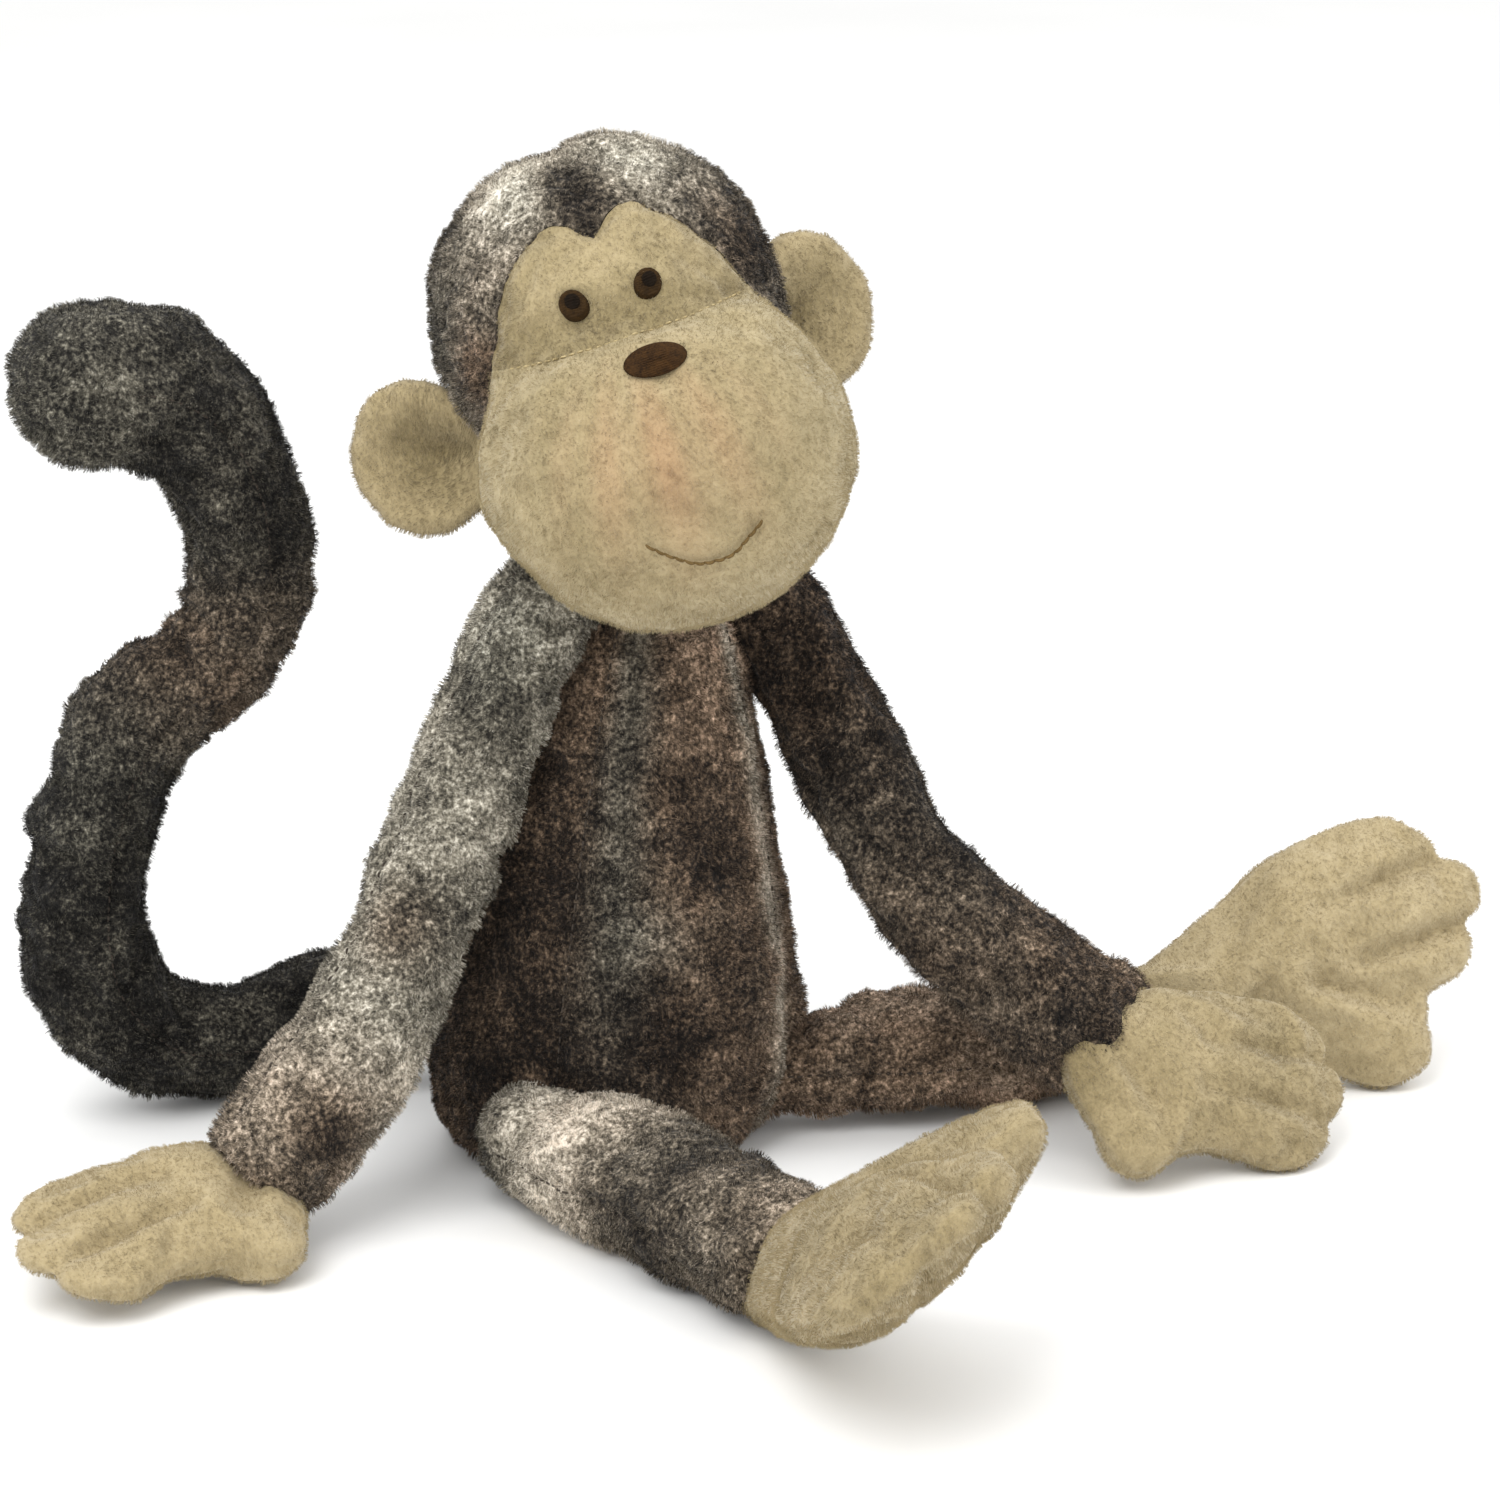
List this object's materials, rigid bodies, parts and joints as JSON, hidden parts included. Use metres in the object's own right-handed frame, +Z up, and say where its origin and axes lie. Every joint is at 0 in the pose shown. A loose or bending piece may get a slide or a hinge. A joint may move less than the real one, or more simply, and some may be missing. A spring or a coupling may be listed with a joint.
{
  "type": "stuffed monkey",
  "caption": "Seated long-limbed plush monkey with mottled grey fur, cream face, hands and feet, stitched features, and a wired tail that curls up behind it",
  "frame": {"origin": "Middle of the flat seat, on the surface the monkey sits on", "axes": "+Z up through the torso; the monkey faces -Y; its left hand is on +X"},
  "size_m": [0.4058, 0.3105, 0.2604],
  "materials": {
    "charcoal_plush": "short brushed pile, dark",
    "grey_plush": "short mottled pile, warm grey",
    "cream_plush": "short brushed pile, cream",
    "filling": "matte polyester fibre",
    "pouch_cloth": "plain weave",
    "pellets": "small plastic beads",
    "thread": "satin-stitched thread",
    "wire": "plain steel wire"
  },
  "bodies": {
    "torso": {"torso_front": "charcoal_plush", "torso_back_left": "charcoal_plush", "torso_back_right": "charcoal_plush", "torso_seat": "charcoal_plush", "torso_stuffing": "filling", "bean_pouch": "pouch_cloth", "bean_fill": "pellets"},
    "neck": {"neck_stuffing": "filling"},
    "head": {"head_cap_left": "grey_plush", "head_cap_right": "grey_plush", "face_panel": "cream_plush", "muzzle_panel": "cream_plush", "head_stuffing": "filling", "eye_left": "thread", "eye_right": "thread", "nose": "thread", "mouth_stitch": "thread"},
    "ear_left": {"ear_left_front": "cream_plush", "ear_left_back": "cream_plush"},
    "arm_left": {"arm_left_front": "grey_plush", "arm_left_back": "charcoal_plush", "arm_left_stuffing": "filling"},
    "hand_left": {"hand_left_back": "cream_plush", "hand_left_palm": "cream_plush", "hand_left_stuffing": "filling"},
    "leg_left": {"leg_left_top": "grey_plush", "leg_left_under": "charcoal_plush", "leg_left_stuffing": "filling"},
    "foot_left": {"foot_left_top": "cream_plush", "foot_left_sole": "cream_plush", "foot_left_stuffing": "filling"},
    "ear_right": {"ear_right_front": "cream_plush", "ear_right_back": "cream_plush"},
    "arm_right": {"arm_right_front": "grey_plush", "arm_right_back": "grey_plush", "arm_right_stuffing": "filling"},
    "hand_right": {"hand_right_back": "cream_plush", "hand_right_palm": "cream_plush", "hand_right_stuffing": "filling"},
    "leg_right": {"leg_right_top": "grey_plush", "leg_right_under": "charcoal_plush", "leg_right_stuffing": "filling"},
    "foot_right": {"foot_right_top": "cream_plush", "foot_right_sole": "cream_plush", "foot_right_stuffing": "filling"},
    "tail_base": {"tail_base_outer": "charcoal_plush", "tail_base_inner": "charcoal_plush", "tail_base_stuffing": "filling", "tail_wire_base": "wire"},
    "tail_tip": {"tail_tip_outer": "charcoal_plush", "tail_tip_inner": "charcoal_plush", "tail_tip_stuffing": "filling", "tail_wire_tip": "wire"}
  },
  "joints": [
    {"name": "neck_turn", "type": "hinge", "parent": "torso", "child": "neck", "pos_m": [0.007, -0.008, 0.156], "axis": [0, 0, 1], "range_deg": [-25, 25]},
    {"name": "head_nod", "type": "hinge", "parent": "neck", "child": "head", "pos_m": [0.007, -0.008, 0.156], "axis": [0.912, -0.296, 0.284], "range_deg": [-5, 10]},
    {"name": "ear_left_fold", "type": "hinge", "parent": "head", "child": "ear_left", "pos_m": [0.0404, -0.0233, 0.209], "axis": [-0.2241, 0.2191, 0.9496], "range_deg": [-12, 12]},
    {"name": "ear_right_fold", "type": "hinge", "parent": "head", "child": "ear_right", "pos_m": [-0.0362, 0.0016, 0.1851], "axis": [-0.2241, 0.2191, 0.9496], "range_deg": [-12, 12]},
    {"name": "shoulder_left", "type": "hinge", "parent": "torso", "child": "arm_left", "pos_m": [0.042, -0.01, 0.138], "axis": [-0.6451, -0.7641, 0], "range_deg": [0, 60]},
    {"name": "shoulder_right", "type": "hinge", "parent": "torso", "child": "arm_right", "pos_m": [-0.028, -0.009, 0.138], "axis": [-0.2, 0.9798, 0], "range_deg": [0, 55]},
    {"name": "wrist_left", "type": "hinge", "parent": "arm_left", "child": "hand_left", "pos_m": [0.099, -0.083, 0.031], "axis": [-0.3, -0.9539, 0], "range_deg": [0, 35]},
    {"name": "wrist_right", "type": "hinge", "parent": "arm_right", "child": "hand_right", "pos_m": [-0.11, -0.023, 0.0155], "axis": [-0.15, 0.9887, 0], "range_deg": [0, 35]},
    {"name": "hip_left", "type": "hinge", "parent": "torso", "child": "leg_left", "pos_m": [0.0515, -0.022, 0.017], "axis": [-0.2, -0.9798, 0], "range_deg": [0, 40]},
    {"name": "hip_right", "type": "hinge", "parent": "torso", "child": "leg_right", "pos_m": [-0.027, -0.044, 0.017], "axis": [-1, 0, 0], "range_deg": [0, 50]},
    {"name": "ankle_left", "type": "hinge", "parent": "leg_left", "child": "foot_left", "pos_m": [0.144, -0.037, 0.021], "axis": [0.1202, -0.5108, -0.8513], "range_deg": [-3, 15]},
    {"name": "ankle_right", "type": "hinge", "parent": "leg_right", "child": "foot_right", "pos_m": [-0.022, -0.137, 0.015], "axis": [0.8703, 0.2001, 0.4501], "range_deg": [-15, 15]},
    {"name": "tail_swing", "type": "hinge", "parent": "torso", "child": "tail_base", "pos_m": [-0.006, 0.046, 0.022], "axis": [0, 0, 1], "range_deg": [-15, 15]},
    {"name": "tail_kink", "type": "hinge", "parent": "tail_base", "child": "tail_tip", "pos_m": [-0.08, 0.064, 0.126], "axis": [0, 1, 0], "range_deg": [-20, 20]}
  ]
}
